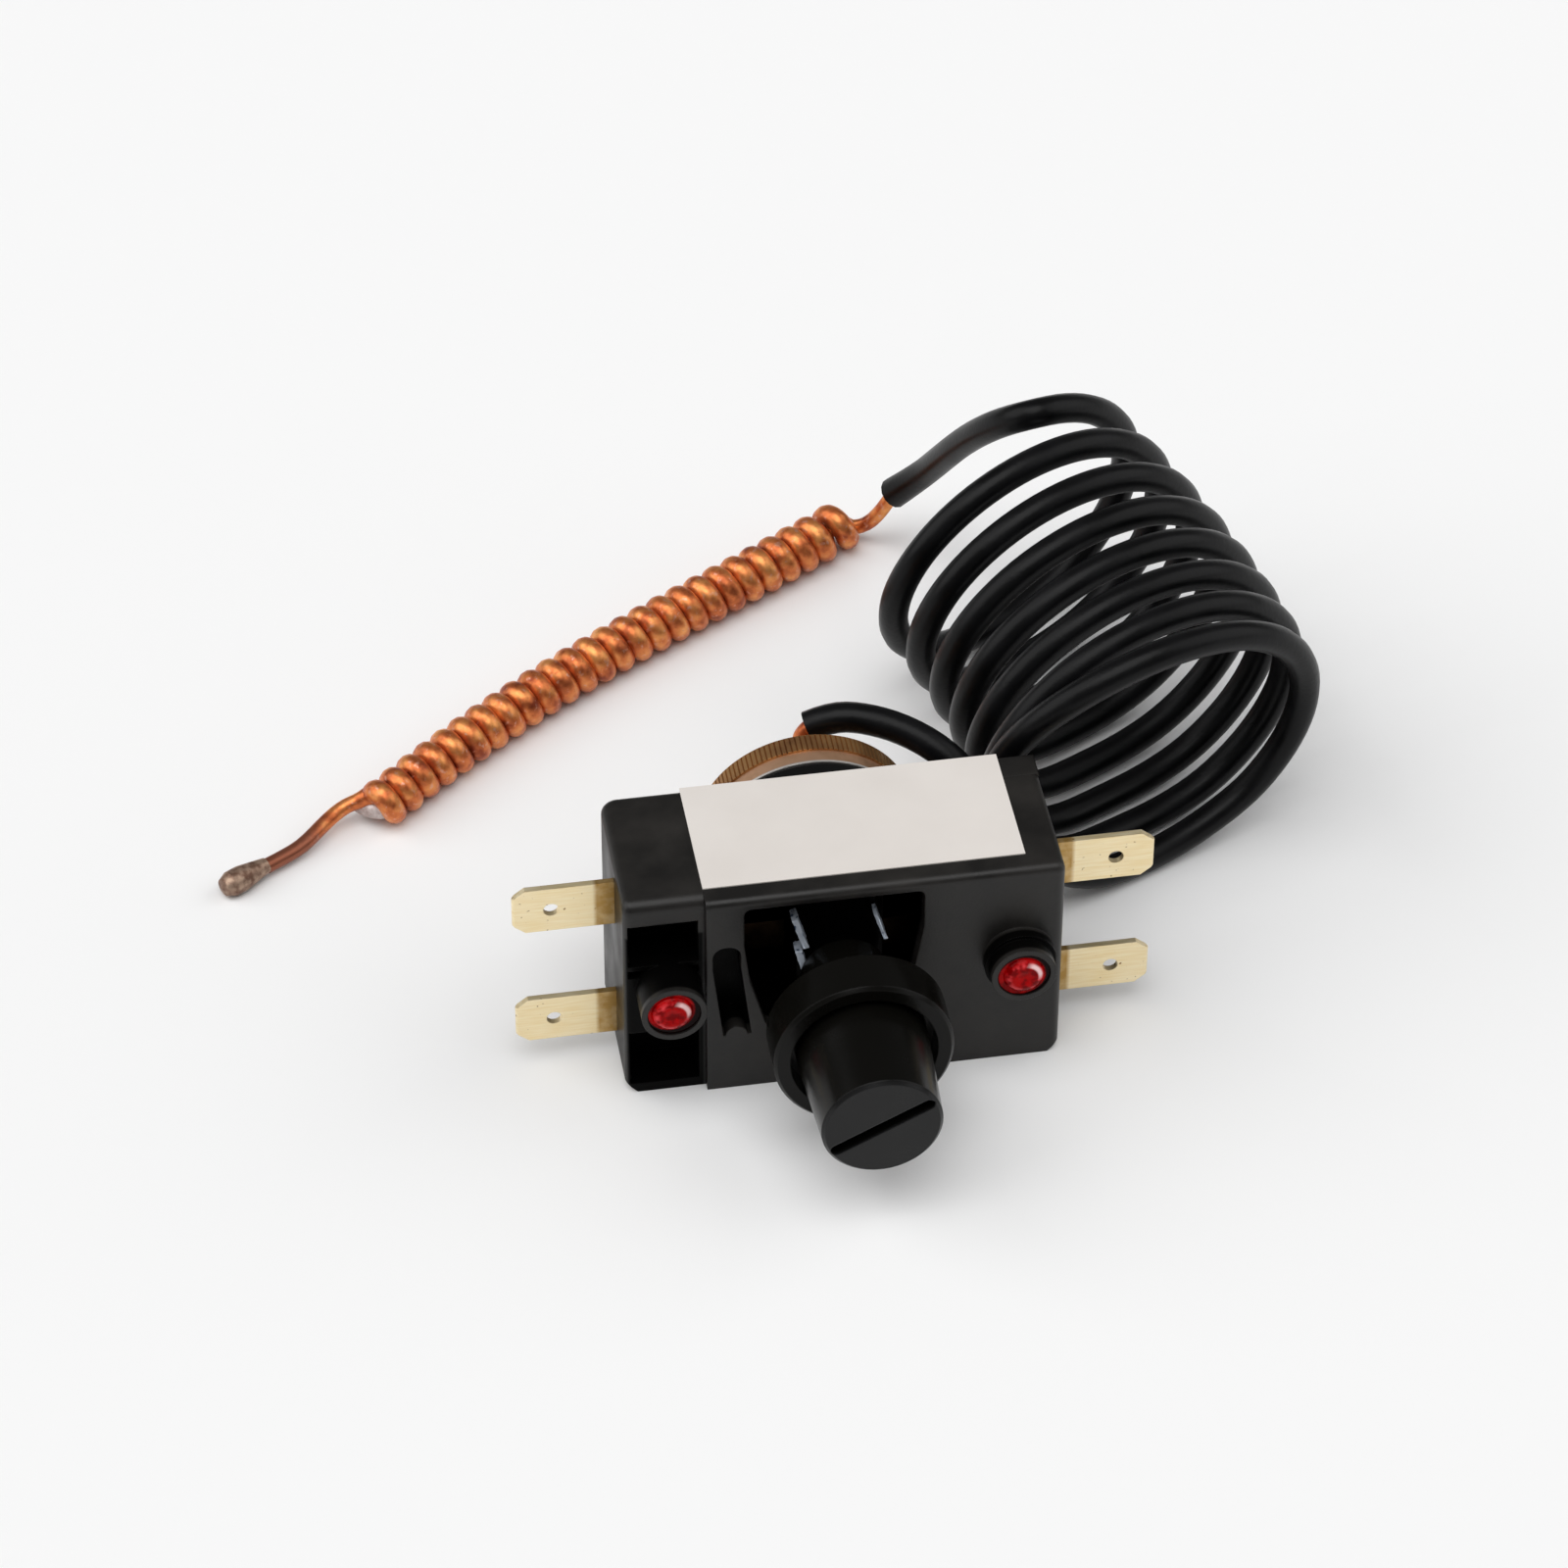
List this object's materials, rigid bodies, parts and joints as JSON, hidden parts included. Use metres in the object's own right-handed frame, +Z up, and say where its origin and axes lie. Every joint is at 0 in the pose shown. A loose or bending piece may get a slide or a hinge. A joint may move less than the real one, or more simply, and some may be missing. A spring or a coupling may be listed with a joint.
{
  "type": "capillary thermostat",
  "caption": "Flat housing with a setting knob, push-on blades and a pressure capsule, and a coiled sleeved capillary that ends in a wound copper sensing bulb.",
  "frame": {"origin": "middle of the housing's lower rest face", "axes": "+Z up from the rest face, +X to the right along the housing's width, -Y out of the setting knob, +Y out of the pressure capsule"},
  "size_m": [0.1327, 0.1229, 0.0387],
  "materials": {
    "housing_plastic": "matt moulded black, faintly brown",
    "knob_plastic": "smooth moulded dark grey",
    "flange_plastic": "glossy moulded black",
    "inner_plastic": "moulded black",
    "label_film": "satin warm white film",
    "red_lacquer": "glossy red sealing lacquer",
    "blade_brass": "stamped pale brass",
    "yellow_brass": "turned brass",
    "spring_bronze": "rolled spring bronze",
    "contact_silver": "silver contact",
    "bright_steel": "zinc plated steel",
    "capsule_bronze": "dull bronze with a beige crimp",
    "copper": "bright drawn copper",
    "solder": "soft solder, stained by the copper",
    "sleeve_plastic": "satin black sleeve"
  },
  "bodies": {
    "housing": {"rear_base": "housing_plastic", "front_cover": "housing_plastic", "rating_label": "label_film", "upper_left_blade": "blade_brass", "lower_left_blade": "blade_brass", "upper_right_blade": "blade_brass", "lower_right_blade": "blade_brass", "left_calibration_screw": "bright_steel", "right_calibration_screw": "bright_steel", "left_lacquer_seal": "red_lacquer", "right_lacquer_seal": "red_lacquer", "left_lever_rivet": "bright_steel", "right_lever_rivet": "bright_steel", "left_fixed_contact": "contact_silver", "right_fixed_contact": "contact_silver", "spindle_bush": "yellow_brass", "spindle_frame": "bright_steel", "frame_screws": "bright_steel", "range_spring": "bright_steel", "capsule_flange": "flange_plastic", "diaphragm": "bright_steel", "crimp_cup": "capsule_bronze", "capillary_stub": "copper", "stub_solder": "solder", "sleeve_lead": "sleeve_plastic", "sleeve_coil": "sleeve_plastic", "sleeve_tail": "sleeve_plastic", "sensing_bulb": "copper", "bulb_seal": "solder"},
    "setting": {"setting_knob": "knob_plastic", "setting_spindle": "bright_steel"},
    "nut": {"setting_nut": "yellow_brass"},
    "plunger_body": {"plunger": "inner_plastic"},
    "left_lever": {"left_contact_lever": "spring_bronze", "left_moving_contact": "contact_silver"},
    "right_lever": {"right_contact_lever": "spring_bronze", "right_moving_contact": "contact_silver"}
  },
  "joints": [
    {"name": "knob_turn", "type": "hinge", "parent": "housing", "child": "setting", "pos_m": [0, -0.0101, 0.015], "axis": [0, 1, 0], "range_deg": [-135, 135]},
    {"name": "nut_travel", "type": "slide", "parent": "housing", "child": "nut", "axis": [0, 1, 0], "range_m": [-0.000374, 0.000374]},
    {"name": "plunger_travel", "type": "slide", "parent": "housing", "child": "plunger_body", "axis": [0, -1, 0], "range_m": [0, 0.0006], "stiffness_N_per_m": 2000, "springref_m": -0.0005},
    {"name": "left_lever_swing", "type": "hinge", "parent": "housing", "child": "left_lever", "pos_m": [-0.0175, -0.00075, 0.015], "axis": [0, 0, -1], "range_deg": [0, 3.3]},
    {"name": "right_lever_swing", "type": "hinge", "parent": "housing", "child": "right_lever", "pos_m": [0.0173, -0.00235, 0.015], "axis": [0, 0, 1], "range_deg": [0, 3.4]}
  ],
  "couplings": [
    {"joint": "knob_turn", "follows": "nut_travel", "rad_per_m": 6283.2},
    {"joint": "left_lever_swing", "follows": "plunger_travel", "rad_per_m": 95.238},
    {"joint": "right_lever_swing", "follows": "plunger_travel", "rad_per_m": 97.087}
  ]
}
